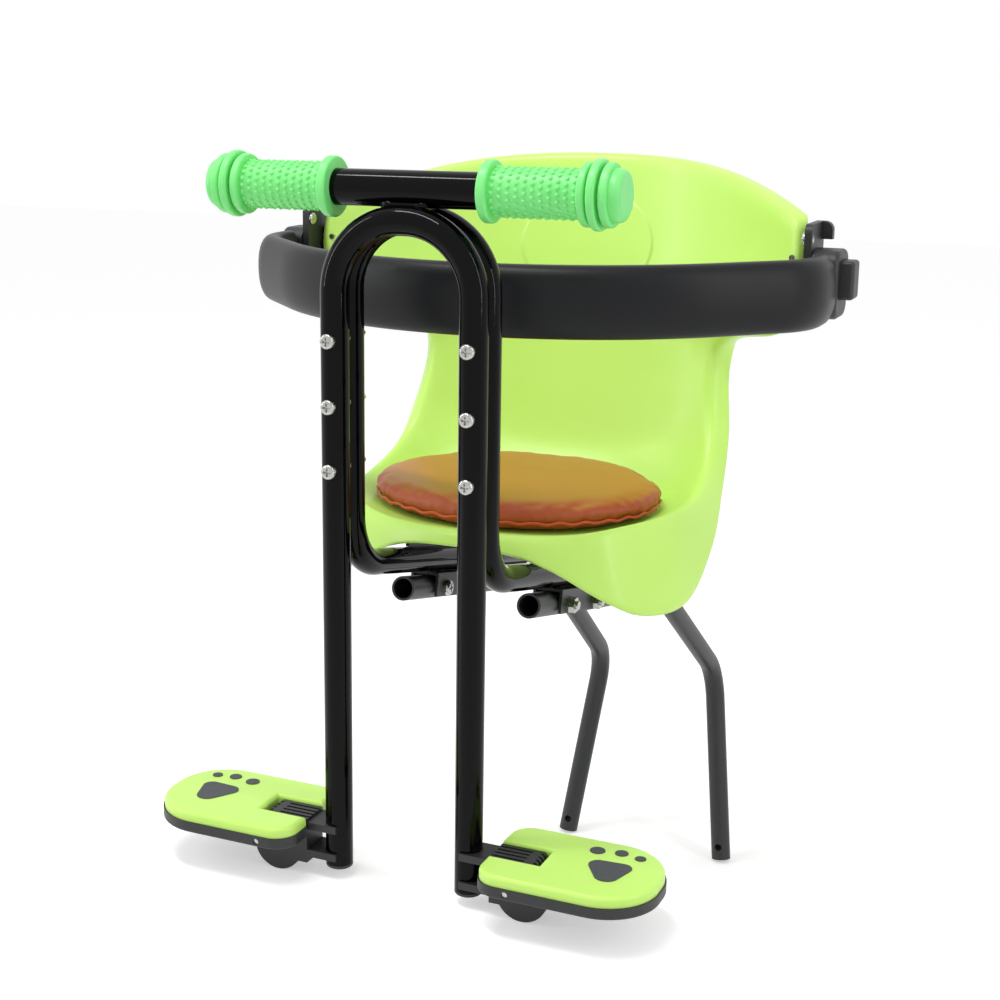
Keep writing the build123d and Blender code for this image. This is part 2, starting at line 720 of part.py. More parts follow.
def wing_screw_places(wing_x):
    """Places, across and up, of the two screws that hold a bracket to the back of the wing."""
    heights = (foot_low_z + wing_screw_inset, foot_high_z - wing_screw_inset)
    return [(wing_x - wing_screw_in, z) for z in heights]


def wing_drill(x, z):
    """Drill from behind, through the bracket's foot and into the wing but not out of its front."""
    low_y = wing_screw_tip_y - wing_screw_clear
    length = foot_back_y + wing_screw_head_h - low_y
    return drill(x, low_y + length / 2, z, wing_screw_d + 2 * wing_screw_clear, (0, 1, 0), length)


def wing_bracket(wing_x):
    """Plate beside the wing, with a foot behind it and a hook that stops the lifted rail."""
    plate_x = wing_x + wing_bracket_gap
    outer = plate_x + wing_bracket_t
    plate = box_between((plate_x, outer), (wing_bracket_front_y, foot_back_y),
                        (wing_bracket_low_z, wing_bracket_high_z))
    plate = fillet(plate.edges().filter_by(Axis.X), housing_round * 2)
    hook = box_between((plate_x, outer + hook_reach), (hook_front_y, foot_back_y),
                       (wing_bracket_high_z - hook_high, wing_bracket_high_z))
    plate += fillet(hook.edges().filter_by(Axis.Y).sort_by(lambda edge: edge.center().X + edge.center().Z)[-1],
                    hook_round)
    plate += box_between((wing_x - foot_in, outer), (foot_front_y, foot_back_y), (foot_low_z, foot_high_z))
    plate -= drill(plate_x, hinge_y, hinge_z, hinge_pin_d + 2 * hinge_pin_clear, (1, 0, 0), 4 * wing_bracket_t)
    plate -= drill(plate_x, rivet_y, rivet_z, rivet_d + 2 * wing_screw_clear, (1, 0, 0), 4 * wing_bracket_t)
    for x, z in wing_screw_places(wing_x):
        plate -= wing_drill(x, z)
    return plate


def wing_screws(wing_x):
    """Screws from behind through the bracket's foot into the wing."""
    length = foot_back_y - wing_screw_tip_y
    head = Cylinder(wing_screw_head_d / 2, wing_screw_head_h, align=(Align.CENTER, Align.CENTER, Align.MIN))
    head = fillet(head.edges().group_by(Axis.Z)[-1], wing_screw_head_h * 0.55)
    screw = head + Cylinder(wing_screw_d / 2, length, align=(Align.CENTER, Align.CENTER, Align.MAX))
    return [Plane(origin=(x, foot_back_y, z), x_dir=(1, 0, 0), z_dir=(0, 1, 0)) * screw
            for x, z in wing_screw_places(wing_x)]


def wing_rivet(plate_x):
    """Domed rivet whose head shows on the inner face of the bracket."""
    head = Cylinder(rivet_head_d / 2, rivet_head_h, align=(Align.CENTER, Align.CENTER, Align.MIN))
    head = fillet(head.edges().group_by(Axis.Z)[-1], rivet_head_h * 0.6)
    rivet = head + Cylinder(rivet_d / 2, wing_bracket_t, align=(Align.CENTER, Align.CENTER, Align.MAX))
    return Plane(origin=(plate_x, rivet_y, rivet_z), x_dir=(0, 1, 0), z_dir=(-1, 0, 0)) * rivet


def hinge_pin(plate_x):
    """Pin that carries the rail's housing on its bracket."""
    length = wing_bracket_t + housing_gap + hinge_pin_sunk
    return drill(plate_x + length / 2, hinge_y, hinge_z, hinge_pin_d, (1, 0, 0), length)


def rail_tongue(housing_x, extra):
    """Tongue of a housing inside the end of the rail, or the pocket for it."""
    middle = housing_x + rail_gap + rail_thick / 2
    half_t = tongue_t / 2 + extra
    half_h = tongue_high / 2 + extra
    return box_between((middle - half_t, middle + half_t),
                       (rail_back_y - tongue_len - extra, rail_back_y + housing_rail_gap + housing_round),
                       (rail_z - half_h, rail_z + half_h))


def rail_housing(housing_x):
    """Moulded end of the guard rail, with a pocket for the button."""
    outer = housing_x + housing_thick
    body = box_between((housing_x, outer), (rail_back_y + housing_rail_gap, housing_back_y),
                       (housing_low_z, housing_high_z))
    body = fillet(body.edges().filter_by(Axis.X), housing_corner)
    body = fillet(body.edges().group_by(Axis.X)[-1], housing_round)
    pocket = box_between((outer - button_sunk - button_travel - button_clear, outer + button_sunk),
                         (hinge_y - button_wide / 2 - button_clear, hinge_y + button_wide / 2 + button_clear),
                         (hinge_z - button_high / 2 - button_clear, hinge_z + button_high / 2 + button_clear))
    body -= fillet(pocket.edges().filter_by(Axis.X), button_round + button_clear)
    body -= drill(housing_x, hinge_y, hinge_z, hinge_pin_d + 2 * hinge_pin_clear, (1, 0, 0),
                  2 * (hinge_pin_sunk + button_clear))
    return body + rail_tongue(housing_x, 0)


def release_button(housing_x):
    """Push button that frees the rail."""
    outer = housing_x + housing_thick
    body = box_between((outer - button_sunk, outer + button_proud),
                       (hinge_y - button_wide / 2, hinge_y + button_wide / 2),
                       (hinge_z - button_high / 2, hinge_z + button_high / 2))
    body = fillet(body.edges().filter_by(Axis.X), button_round)
    return fillet(body.edges().group_by(Axis.X)[-1], button_round)


def guard_rail(housing_x):
    """Padded band round the child, from one housing forward and back to the other."""
    half = housing_x + rail_gap + rail_thick / 2
    right = [(half, rail_back_y, rail_z), (half, rail_side_y, rail_z), (rail_front_half, rail_front_y, rail_z)]
    left = [(-x, y, z) for x, y, z in right[::-1]]
    path = FilletPolyline(*right, *left, radius=[rail_side_r, rail_front_r, rail_front_r, rail_side_r])
    start = Plane(origin=path @ 0, x_dir=(0, 0, 1), z_dir=path % 0)
    band = sweep(start * RectangleRounded(rail_high, rail_thick, rail_round), path=path)
    for side in sides.values():
        band -= to_side(rail_tongue(housing_x, tongue_clear), side)
    return band


os.makedirs("parts", exist_ok=True)
write("front_frame", front_frame())
write("rear_frame", rear_frame())
write("tube_plugs", *tube_plugs())
for node, group in zip(("frame_screws", "frame_nuts", "frame_spacers"), frame_fasteners()):
    write(node, *group)
write("handlebar", handlebar())
write("bar_saddle", bar_saddle())
for name, side in sides.items():
    write(f"{name}_grip", grip(side))
shell = seat_shell()
wing_x = shell.bounding_box().max.X
plate_x = wing_x + wing_bracket_gap
housing_x = plate_x + wing_bracket_t + housing_gap
for side in sides.values():
    for x, z in wing_screw_places(wing_x):
        shell -= wing_drill(side * x, z)
for x, y in seat_screw_places():
    shell -= drill(x, y, pan_middle.z, seat_screw_d + 2 * bracket_clear, (0, 0, 1), 6 * seat_wall)
write("seat_shell", shell)
write("seat_cushion", seat_cushion())
write("seat_support", seat_support())
write("seat_screws", *seat_screws())
for node, group in zip(("leg_bolts", "leg_nuts"), leg_fasteners()):
    write(node, *group)
write("guard_rail", guard_rail(housing_x))
for name, side in sides.items():
    write(f"{name}_rear_leg", rear_leg(side))
    write(f"{name}_leg_bracket", leg_bracket(side))
    write(f"{name}_pedal_base", to_side(pedal_base(), side))
    write(f"{name}_pedal_cover", to_side(pedal_cover(), side))
    write(f"{name}_pedal_tread", *[to_side(mark, side) for mark in pedal_tread()])
    write(f"{name}_pedal_lug", to_side(pedal_lug(), side))
    write(f"{name}_pedal_pin", to_side(pedal_pin(), side))
    write(f"{name}_wing_bracket", to_side(wing_bracket(wing_x), side))
    write(f"{name}_wing_screws", *[to_side(screw, side) for screw in wing_screws(wing_x)])
    write(f"{name}_wing_rivet", to_side(wing_rivet(plate_x), side))
    write(f"{name}_hinge_pin", to_side(hinge_pin(plate_x), side))
    write(f"{name}_rail_housing", to_side(rail_housing(housing_x), side))
    write(f"{name}_release_button", to_side(release_button(housing_x), side))
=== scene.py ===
# %% [markdown]
# # A child's seat for the front of a bicycle
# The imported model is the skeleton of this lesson: every tube, bolt and moulding already has its size and place.
# Here each surface gets the finish of the real thing, and the soft pieces are built as what they are.

# %% Load the frame
import json
import math
import random

import bmesh
import bpy
from mathutils import Matrix, Vector, noise


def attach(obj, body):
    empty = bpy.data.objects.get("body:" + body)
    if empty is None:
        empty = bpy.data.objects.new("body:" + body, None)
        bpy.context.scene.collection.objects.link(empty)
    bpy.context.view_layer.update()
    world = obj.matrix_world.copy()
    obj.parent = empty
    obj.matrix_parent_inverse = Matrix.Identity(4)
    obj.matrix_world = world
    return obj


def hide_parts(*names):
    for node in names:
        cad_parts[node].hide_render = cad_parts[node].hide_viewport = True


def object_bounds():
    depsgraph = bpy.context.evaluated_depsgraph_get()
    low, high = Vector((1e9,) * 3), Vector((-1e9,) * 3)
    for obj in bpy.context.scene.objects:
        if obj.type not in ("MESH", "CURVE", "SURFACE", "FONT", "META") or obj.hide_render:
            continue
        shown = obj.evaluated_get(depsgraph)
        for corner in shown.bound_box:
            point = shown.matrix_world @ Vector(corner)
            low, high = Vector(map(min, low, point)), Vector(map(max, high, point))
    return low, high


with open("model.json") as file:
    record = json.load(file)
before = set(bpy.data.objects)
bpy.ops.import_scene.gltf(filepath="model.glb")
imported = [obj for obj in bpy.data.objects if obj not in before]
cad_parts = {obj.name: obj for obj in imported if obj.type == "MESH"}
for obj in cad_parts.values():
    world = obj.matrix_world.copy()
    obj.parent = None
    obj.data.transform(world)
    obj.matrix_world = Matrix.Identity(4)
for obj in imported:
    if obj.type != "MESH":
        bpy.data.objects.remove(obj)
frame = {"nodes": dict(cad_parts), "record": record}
cad_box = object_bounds()
scene = bpy.context.scene
MM = 0.001

# %% [markdown]
# The drawing was made from the front frame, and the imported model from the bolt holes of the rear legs.
# One shift takes a point in millimetres from the drawing to metres in the model, so sizes stay readable.

# %% Places in millimetres
DRAWING_ORIGIN = Vector((0.0, 527.465, -187.248))


def at(x, y, z):
    """Point of the drawing, in millimetres, as a point of the model in metres."""
    return (Vector((x, y, z)) - DRAWING_ORIGIN) * MM


def mesh_piece(name, verts, faces, material, body, slot):
    """Adds a smooth mesh that rides on a body and takes one material."""
    mesh = bpy.data.meshes.new(name)
    mesh.from_pydata([tuple(v) for v in verts], [], faces)
    mesh.validate()
    mesh.shade_smooth()
    obj = bpy.data.objects.new(name, mesh)
    scene.collection.objects.link(obj)
    obj.data.materials.append(material)
    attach(obj, body)
    return obj


print("box of the model", [tuple(round(c, 3) for c in corner) for corner in cad_box])

# %% [markdown]
# Colours are written as sRGB hex values, as they are picked from a swatch, and one function turns them linear.
# Another adds a shader node with its settings and links, and a third starts a material with its plain values.

# %% Helpers for materials


def linear(code):
    """sRGB hex colour as linear red, green and blue, with full alpha."""
    parts = [int(code[i:i + 2], 16) / 255 for i in (1, 3, 5)]
    return (*[c / 12.92 if c <= 0.04045 else ((c + 0.055) / 1.055) ** 2.4 for c in parts], 1.0)


def node(tree, kind, inputs=None, **settings):
    """Adds a node; an input is a value, or another node's socket to link."""
    made = tree.nodes.new(kind)
    for key, value in settings.items():
        setattr(made, key, value)
    for key, value in (inputs or {}).items():
        if isinstance(value, bpy.types.NodeSocket):
            tree.links.new(value, made.inputs[key])
        else:
            made.inputs[key].default_value = value
    return made


def start_material(name, **inputs):
    """New material with its shader's plain values set; returns it with its tree, shader and coordinates."""
    material = bpy.data.materials.new(name)
    material.use_nodes = True
    tree = material.node_tree
    shader = tree.nodes["Principled BSDF"]
    for key, value in inputs.items():
        shader.inputs[key.replace("_", " ")].default_value = value
    place = node(tree, "ShaderNodeTexCoord").outputs["Object"]
    return material, tree, shader, place


def per_mm(size):
    """Texture scale for a pattern of this size in millimetres, with coordinates in metres."""
    return 1 / (size * MM)


# %% [markdown]
# ## Powder-coated steel tube
# The frame, the handlebar and the rails are bent steel tube under a gloss black powder coat.
# Baked powder flows into a glassy skin that is never quite flat: the faint waves, some millimetres long, are
# called orange peel and make the reflections wander along the tube.

# %% Gloss black powder coat
gloss_coat, tree, shader, place = start_material(
    "gloss_black_powder_coat", Base_Color=linear("#040405"), IOR=1.5, Specular_IOR_Level=0.12)
peel = node(tree, "ShaderNodeTexNoise", {"Vector": place, "Scale": per_mm(3.5), "Detail": 2.0})
bump = node(tree, "ShaderNodeBump", {"Height": peel.outputs["Fac"], "Strength": 0.05, "Distance": 0.0006})
tree.links.new(bump.outputs["Normal"], shader.inputs["Normal"])
wear = node(tree, "ShaderNodeTexNoise", {"Vector": place, "Scale": per_mm(40), "Detail": 4.0})
rough = node(tree, "ShaderNodeMapRange", {"Value": wear.outputs["Fac"], "To Min": 0.03, "To Max": 0.08})
tree.links.new(rough.outputs["Result"], shader.inputs["Roughness"])
print("made", gloss_coat.name)

# %% [markdown]
# The rear legs carry a satin coat: the same powder with a matting agent, so light spreads along the tube.

# %% Satin black powder coat
satin_coat, tree, shader, place = start_material(
    "satin_black_powder_coat", Base_Color=linear("#1A1B1C"), IOR=1.5)
grit = node(tree, "ShaderNodeTexNoise", {"Vector": place, "Scale": per_mm(1.2), "Detail": 3.0})
bump = node(tree, "ShaderNodeBump", {"Height": grit.outputs["Fac"], "Strength": 0.12, "Distance": 0.0003})
tree.links.new(bump.outputs["Normal"], shader.inputs["Normal"])
rough = node(tree, "ShaderNodeMapRange", {"Value": grit.outputs["Fac"], "To Min": 0.36, "To Max": 0.5})
tree.links.new(rough.outputs["Result"], shader.inputs["Roughness"])
print("made", satin_coat.name)

# %% [markdown]
# Screws, bolts and nuts are zinc-plated steel: a bright grey metal with a fine crystalline bloom.

# %% Zinc plate
zinc, tree, shader, place = start_material("zinc_plated_steel", Metallic=1.0)
bloom = node(tree, "ShaderNodeTexNoise", {"Vector": place, "Scale": per_mm(1.5), "Detail": 5.0})
shade = node(tree, "ShaderNodeMix", {"Factor": bloom.outputs["Fac"], "A": linear("#8E8E8B"), "B": linear("#CFCFCA")},
             data_type="RGBA")
tree.links.new(shade.outputs[2], shader.inputs["Base Color"])
rough = node(tree, "ShaderNodeMapRange", {"Value": bloom.outputs["Fac"], "To Min": 0.18, "To Max": 0.34})
tree.links.new(rough.outputs["Result"], shader.inputs["Roughness"])
print("made", zinc.name)

# %% [markdown]
# ## Moulded plastics
# The bucket is injection-moulded polypropylene in lime green. It is slightly waxy, a little light goes into it,
# and its mould was spark-eroded to a very fine grain that softens the highlight. On the back, where the child leans,
# a plain oval stands about a millimetre proud of the wall: its edge catches a thin line of light.

# %% Lime polypropylene
lime, tree, shader, place = start_material(
    "lime_polypropylene", IOR=1.49, Subsurface_Weight=0.12, Subsurface_Scale=0.006,
    Coat_Weight=0.12, Coat_Roughness=0.22)
shader.inputs["Subsurface Radius"].default_value = (0.9, 1.0, 0.2)
cloud = node(tree, "ShaderNodeTexNoise", {"Vector": place, "Scale": per_mm(60), "Detail": 2.0})
shade = node(tree, "ShaderNodeMix", {"Factor": cloud.outputs["Fac"], "A": linear("#C6F66C"), "B": linear("#CEF979")},
             data_type="RGBA")
tree.links.new(shade.outputs[2], shader.inputs["Base Color"])
grain = node(tree, "ShaderNodeTexNoise", {"Vector": place, "Scale": per_mm(0.9), "Detail": 3.0})
bump = node(tree, "ShaderNodeBump", {"Height": grain.outputs["Fac"], "Strength": 0.06, "Distance": 0.0003})
OVAL_Z, OVAL_WIDE, OVAL_HIGH = 380.0, 52.0, 40.0
apart = node(tree, "ShaderNodeVectorMath", {0: place, 1: at(0, 0, OVAL_Z)}, operation="SUBTRACT")
scaled = node(tree, "ShaderNodeVectorMath", {0: apart.outputs[0], 1: (per_mm(OVAL_WIDE), 0, per_mm(OVAL_HIGH))},
              operation="MULTIPLY")
reach = node(tree, "ShaderNodeVectorMath", {0: scaled.outputs[0]}, operation="LENGTH")
proud = node(tree, "ShaderNodeMapRange", {"Value": reach.outputs["Value"], "From Min": 0.97, "From Max": 1.03,
                                          "To Min": 1.0, "To Max": 0.0}, interpolation_type="SMOOTHSTEP")
bump = node(tree, "ShaderNodeBump", {"Height": proud.outputs["Result"], "Strength": 0.8, "Distance": 0.0015,
                                     "Normal": bump.outputs["Normal"]})
tree.links.new(bump.outputs["Normal"], shader.inputs["Normal"])
rough = node(tree, "ShaderNodeMapRange", {"Value": grain.outputs["Fac"], "To Min": 0.34, "To Max": 0.42})
tree.links.new(rough.outputs["Result"], shader.inputs["Roughness"])
print("made", lime.name)

# %% [markdown]
# Hinge blocks, housings and pedal bases are black glass-filled nylon: a dark, dry skin with a fine sparkle-free grain.

# %% Black nylon
nylon, tree, shader, place = start_material("black_glass_filled_nylon", Base_Color=linear("#17181A"), IOR=1.53)
grain = node(tree, "ShaderNodeTexNoise", {"Vector": place, "Scale": per_mm(0.7), "Detail": 4.0})
bump = node(tree, "ShaderNodeBump", {"Height": grain.outputs["Fac"], "Strength": 0.25, "Distance": 0.0003})
tree.links.new(bump.outputs["Normal"], shader.inputs["Normal"])
rough = node(tree, "ShaderNodeMapRange", {"Value": grain.outputs["Fac"], "To Min": 0.38, "To Max": 0.56})
tree.links.new(rough.outputs["Result"], shader.inputs["Roughness"])
print("made", nylon.name)

# %% [markdown]
# The dark inlays of the pedals are a grey-black rubbery plastic, a tone lighter than the bases.

# %% Tread rubber
tread, tree, shader, place = start_material("tread_rubber", Base_Color=linear("#404348"), IOR=1.5)
pebble = node(tree, "ShaderNodeTexVoronoi", {"Vector": place, "Scale": per_mm(1.4)})
bump = node(tree, "ShaderNodeBump", {"Height": pebble.outputs["Distance"], "Strength": 0.3, "Distance": 0.0004})
tree.links.new(bump.outputs["Normal"], shader.inputs["Normal"])
rough = node(tree, "ShaderNodeMapRange", {"Value": pebble.outputs["Distance"], "To Min": 0.5, "To Max": 0.66})
tree.links.new(rough.outputs["Result"], shader.inputs["Roughness"])
print("made", tread.name)

# %% [markdown]
# The grips are soft PVC in a bluer green. Soft PVC is dense with pigment and slightly oily, so its gloss is broad.

# %% Soft green PVC
soft_pvc, tree, shader, place = start_material(
    "soft_green_pvc", IOR=1.52, Subsurface_Weight=0.1, Subsurface_Scale=0.003)
shader.inputs["Subsurface Radius"].default_value = (0.3, 1.0, 0.3)
cloud = node(tree, "ShaderNodeTexNoise", {"Vector": place, "Scale": per_mm(12), "Detail": 3.0})
shade = node(tree, "ShaderNodeMix", {"Factor": cloud.outputs["Fac"], "A": linear("#74E77A"), "B": linear("#8AF18E")},
             data_type="RGBA")
tree.links.new(shade.outputs[2], shader.inputs["Base Color"])
skin = node(tree, "ShaderNodeTexNoise", {"Vector": place, "Scale": per_mm(0.8), "Detail": 2.0})
bump = node(tree, "ShaderNodeBump", {"Height": skin.outputs["Fac"], "Strength": 0.1, "Distance": 0.0002})
tree.links.new(bump.outputs["Normal"], shader.inputs["Normal"])
rough = node(tree, "ShaderNodeMapRange", {"Value": skin.outputs["Fac"], "To Min": 0.34, "To Max": 0.46})
tree.links.new(rough.outputs["Result"], shader.inputs["Roughness"])
print("made", soft_pvc.name)

# %% [markdown]
# ## Leather cloth and foam
# The cushion's cover is brown PU leather, a knitted cloth under a printed polyurethane skin. Its grain is pebbled,
# with cells about two millimetres across. The leather is a red brown; where the cover faces up, a golden tan is painted
# in as light falling from above.

# %% Brown PU leather
leather, tree, shader, place = start_material(
    "brown_pu_leather", IOR=1.5, Specular_IOR_Level=0.3, Coat_Weight=0.06, Coat_Roughness=0.3)
tone = node(tree, "ShaderNodeTexNoise", {"Vector": place, "Scale": per_mm(45), "Detail": 3.0})
shade = node(tree, "ShaderNodeMix", {"Factor": tone.outputs["Fac"], "A": linear("#A04320"), "B": linear("#B2582C")},
             data_type="RGBA")
# Painted light: the more the surface faces up, the more its colour is mixed towards golden tan, a painted highlight
# from above.
facing = node(tree, "ShaderNodeSeparateXYZ", {0: node(tree, "ShaderNodeNewGeometry").outputs["Normal"]})
top_light_share = node(tree, "ShaderNodeMapRange", {"Value": facing.outputs["Z"], "From Min": 0.7, "From Max": 0.98})
painted_top_light = node(tree, "ShaderNodeMix",
              {"Factor": top_light_share.outputs["Result"], "A": shade.outputs[2], "B": linear("#B87A2E")}, data_type="RGBA")
tree.links.new(painted_top_light.outputs[2], shader.inputs["Base Color"])
cells = node(tree, "ShaderNodeTexVoronoi", {"Vector": place, "Scale": per_mm(1.9)}, feature="DISTANCE_TO_EDGE")
pores = node(tree, "ShaderNodeTexNoise", {"Vector": place, "Scale": per_mm(0.8), "Detail": 4.0})
height = node(tree, "ShaderNodeMath", {0: cells.outputs["Distance"], 1: pores.outputs["Fac"]}, operation="ADD")
bump = node(tree, "ShaderNodeBump", {"Height": height.outputs[0], "Strength": 0.16, "Distance": 0.0004})
tree.links.new(bump.outputs["Normal"], shader.inputs["Normal"])
rough = node(tree, "ShaderNodeMapRange", {"Value": tone.outputs["Fac"], "To Min": 0.36, "To Max": 0.48})
tree.links.new(rough.outputs["Result"], shader.inputs["Roughness"])
print("made", leather.name)

# %% [markdown]
# The guard rail wears a closed-cell foam sleeve. The extruder leaves a dense skin: dark grey, with a wide soft sheen.

# %% Foam sleeve
foam, tree, shader, place = start_material(
    "black_foam_skin", Base_Color=linear("#0F1013"), IOR=1.4, Specular_IOR_Level=0.32, Sheen_Weight=0.04,
    Sheen_Roughness=0.5)
cell = node(tree, "ShaderNodeTexNoise", {"Vector": place, "Scale": per_mm(1.0), "Detail": 4.0})
bump = node(tree, "ShaderNodeBump", {"Height": cell.outputs["Fac"], "Strength": 0.2, "Distance": 0.0004})
tree.links.new(bump.outputs["Normal"], shader.inputs["Normal"])
rough = node(tree, "ShaderNodeMapRange", {"Value": cell.outputs["Fac"], "To Min": 0.34, "To Max": 0.46})
tree.links.new(rough.outputs["Result"], shader.inputs["Roughness"])
print("made", foam.name)

# %% [markdown]
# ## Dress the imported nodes
# A node whose shape is right keeps its mesh and only gets its finish. The record says which slot each node belongs to.

# %% Finishes by slot
finish = {
    "gloss_black_tube": gloss_coat,
    "satin_black_tube": satin_coat,
    "zinc_steel": zinc,
    "black_plastic": nylon,
    "lime_plastic": lime,
    "green_pedal": lime,
    "green_grip": soft_pvc,
    "brown_leather": leather,
    "black_foam": foam,
}
slot_of = {part["node"]: part["material_slot"] for part in frame["record"]["subparts"]}
for name, obj in frame["nodes"].items():
    material = tread if name.endswith("pedal_tread") else finish[slot_of[name]]
    obj.data.materials.clear()
    obj.data.materials.append(material)
print("dressed", len(frame["nodes"]), "nodes")

# %% [markdown]
# ## Moulded seat
# A moulding has no sharp folds: its wall runs round every edge in a soft roll, so that the hot plastic can flow and the
# child's legs aren't cut. The bucket is drawn from the sections of the drawing, one row for each, from the front
# lip over the pan and the waist to the wings and the rolled top.

# %% Sections of the bucket
# Each row: y, z, half width, rise of the rim, sweep of the rim, flange out, down and back, and how late the rise comes
SECTIONS = [
    (79, 202, 74, -17, 16, 22, 12, 12, 3),
    (83, 214, 87, -4, 24, 20, 38, 3, 3),
    (106, 207, 107, 12, 32, 17, 66, 0, 6),
    (150, 205, 122, 15, 16, 13, 66, 4, 6),
    (205, 204, 127, 18, 4, 11, 38, 8, 6),
    (256, 206, 122, 26, -8, 10, 14, 12, 6),
    (288, 228, 117, 32, -14, 10, 4, 14, 3),
    (304, 272, 111, 22, -18, 11, 2, 14, 3),
    (314, 312, 115, 8, -28, 11, 3, 14, 3),
    (322, 346, 163, -8, -84, 8, 4, 10, 3),
    (332, 395, 181, -14, -96, 6, 0, 12, 3),
    (339, 436, 178, -32, -98, 6, 0, 12, 3),
    (346, 449, 175, -37, -98, 6, -1, 12, 3),
    (356, 446, 172, -35, -98, 6, -1, 12, 3),
]
SWEEP_POWER, EDGE_POWER = 2.2, 4


def lean(values, i):
    """Slope at one of a run of values, flat at a peak so that the curve never overshoots."""
    if i in (0, len(values) - 1):
        return values[min(i + 1, len(values) - 1)] - values[max(i - 1, 0)]
    before, after = values[i] - values[i - 1], values[i + 1] - values[i]
    return 2 * before * after / (before + after) if before * after > 0 else 0.0


def section(t):
    """Section between two rows, blended smoothly."""
    i = min(int(t), len(SECTIONS) - 2)
    u = t - i
    blended = []
    for values in zip(*SECTIONS):
        rise, start, end = values[i + 1] - values[i], lean(values, i), lean(values, i + 1)
        blended.append(values[i] + u * (start + u * (3 * rise - 2 * start - end + u * (start + end - 2 * rise))))
    return blended


def seat_point(t, a):
    """Point of the inner face: t counts the rows, a runs from rim to rim."""
    y, z, half, rise, sweep, _, _, _, bowl = section(t)
    return Vector((half * a, y + sweep * abs(a) ** SWEEP_POWER, z + rise * abs(a) ** bowl))


def flange_end(t, side):
    """Outer end of the side flange."""
    _, _, _, _, _, out, down, back, _ = section(t)
    return seat_point(t, side) + Vector((side * out, back, -down))


def free_edge(t, corner, a):
    """Free edge of the front or top flange, drawn out at its ends to the side flange's corner."""
    pull = (corner - seat_point(t, 1)) * abs(a) ** EDGE_POWER
    return seat_point(t, a) + Vector((pull.x if a > 0 else -pull.x, pull.y, pull.z))


print("sections", len(SECTIONS))

# %% [markdown]
# The inner face is a net of rows and columns, and the flange is a ring of rows round its border. Its free edge is
# rounded first at the two front corners, which hang down as lobes beside the child's legs. Where net and flange
# meet there is a fold. Pulling each point near the fold towards the middle of its neighbours, some dozens of times,
# rolls it.

# %% Net of the bucket
SEAT_ROWS, SEAT_COLUMNS, SEAT_FLANGE = 97, 61, 7
SEAT_ROLL, SEAT_PASSES, SEAT_WALL = 15.0, 60, 3.2
SEAT_CORNER, SEAT_CORNER_PASSES, SEAT_LOBE = 45.0, 120, 8.0
CORNER_SHARE, STAYS_PUT = 0.5, 1000.0
last_row = len(SECTIONS) - 2.0
steps = [1 + (last_row - 1) * k / (SEAT_ROWS - 1) for k in range(SEAT_ROWS)]
across = [math.sin(math.pi / 2 * (2 * k / (SEAT_COLUMNS - 1) - 1)) for k in range(SEAT_COLUMNS)]
net = [[seat_point(t, a) for a in across] for t in steps]
border = [(0, k) for k in range(SEAT_COLUMNS)] + [(k, SEAT_COLUMNS - 1) for k in range(1, SEAT_ROWS)]
border += [(SEAT_ROWS - 1, k) for k in range(SEAT_COLUMNS - 2, -1, -1)] + [(k, 0) for k in range(SEAT_ROWS - 2, 0, -1)]


def outer_end(row, column):
    """End of the flange that starts from a border point of the net."""
    if row == 0:
        return free_edge(0, flange_end(1, 1), across[column])
    if row == SEAT_ROWS - 1:
        return free_edge(last_row + 1, flange_end(last_row, 1), across[column])
    return flange_end(steps[row], 1 if column else -1)


edge = [outer_end(row, column) for row, column in border]
corner_at = [0, SEAT_COLUMNS - 1]
corners = [edge[k].copy() for k in corner_at]
soft = [0.5 * math.exp(-(min((p - c).length for c in corners) / SEAT_CORNER) ** 2) for p in edge]
for _ in range(SEAT_CORNER_PASSES):
    edge = [p.lerp((edge[k - 1] + edge[(k + 1) % len(edge)]) / 2, soft[k]) for k, p in enumerate(edge)]
edge = [p - Vector((0, 0, SEAT_LOBE * 2 * s)) for p, s in zip(edge, soft)]

verts = [p for row in net for p in row]
near = [min((p - row[0]).length, (p - row[-1]).length, (p - net[0][k]).length, (p - net[-1][k]).length)
        for row in net for k, p in enumerate(row)]
faces = [(i * SEAT_COLUMNS + k, i * SEAT_COLUMNS + k + 1, (i + 1) * SEAT_COLUMNS + k + 1, (i + 1) * SEAT_COLUMNS + k)
         for i in range(SEAT_ROWS - 1) for k in range(SEAT_COLUMNS - 1)]
ring = [row * SEAT_COLUMNS + column for row, column in border]
for step in range(1, SEAT_FLANGE + 1):
    start = len(verts)
    share = step / SEAT_FLANGE
    new_row = [net[row][column].lerp(end, share) for (row, column), end in zip(border, edge)]
    for k, p in enumerate(new_row):
        fold = (p - net[border[k][0]][border[k][1]]).length
        corner = min((p - new_row[c]).length for c in corner_at)
        near.append(min(fold, CORNER_SHARE * corner) if step < SEAT_FLANGE else STAYS_PUT)
    verts += new_row
    new_ring = list(range(start, len(verts)))
    after = new_ring[1:] + new_ring[:1], ring[1:] + ring[:1]
    faces += list(zip(ring, new_ring, *after))
    ring = new_ring
print("seat net", len(verts), "points")

